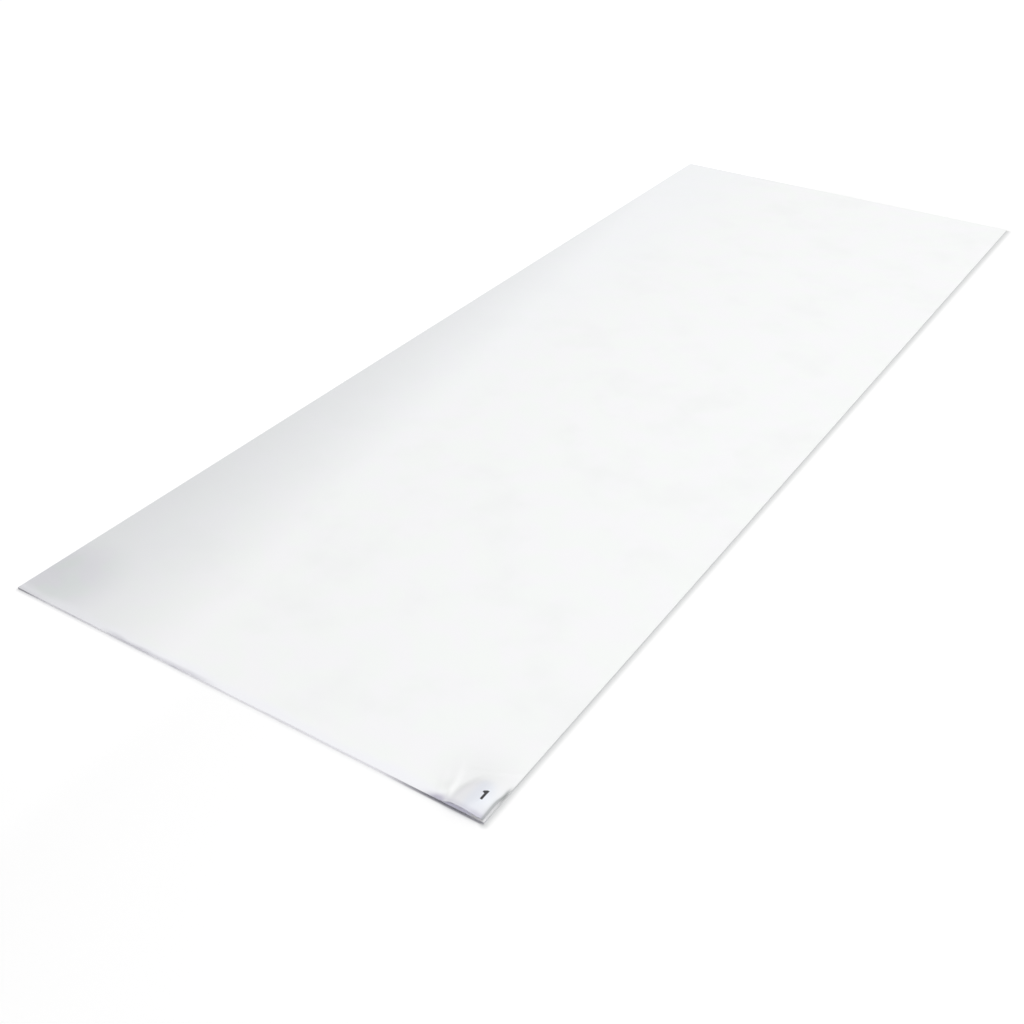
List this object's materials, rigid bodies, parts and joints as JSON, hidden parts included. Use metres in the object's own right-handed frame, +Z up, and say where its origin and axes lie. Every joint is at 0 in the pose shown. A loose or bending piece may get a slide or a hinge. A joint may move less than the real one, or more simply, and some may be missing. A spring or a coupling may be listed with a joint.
{
  "type": "cleanroom sticky mat",
  "caption": "Flat rectangular pad of stacked white adhesive film sheets for a cleanroom doorway, with numbered peel tabs standing loose at one corner.",
  "frame": {"origin": "centre of the underside, on the floor", "axes": "+X across the mat, +Y along its length, away from the edge with the tab corner at its right end, +Z up"},
  "size_m": [0.45, 1.15, 0.006],
  "materials": {
    "white_film": "white polyethylene film with a clear adhesive coat on its upper side",
    "base_film": "white polyethylene film with the clear mounting adhesive on its underside",
    "liner_film": "pale, slightly milky plastic release film"
  },
  "bodies": {
    "root": {"sheet_01": "white_film", "sheet_02": "white_film", "sheet_03": "white_film", "sheet_04": "white_film", "sheet_05": "white_film", "sheet_06": "white_film", "sheet_07": "white_film", "sheet_08": "white_film", "sheet_09": "white_film", "sheet_10": "white_film", "sheet_11": "white_film", "sheet_12": "white_film", "sheet_13": "white_film", "sheet_14": "white_film", "sheet_15": "white_film", "sheet_16": "white_film", "sheet_17": "white_film", "sheet_18": "white_film", "sheet_19": "white_film", "sheet_20": "white_film", "sheet_21": "white_film", "sheet_22": "white_film", "sheet_23": "white_film", "sheet_24": "white_film", "sheet_25": "white_film", "sheet_26": "white_film", "sheet_27": "white_film", "sheet_28": "white_film", "sheet_29": "white_film", "sheet_30": "white_film", "base_sheet": "base_film", "release_liner": "liner_film"}
  },
  "joints": []
}
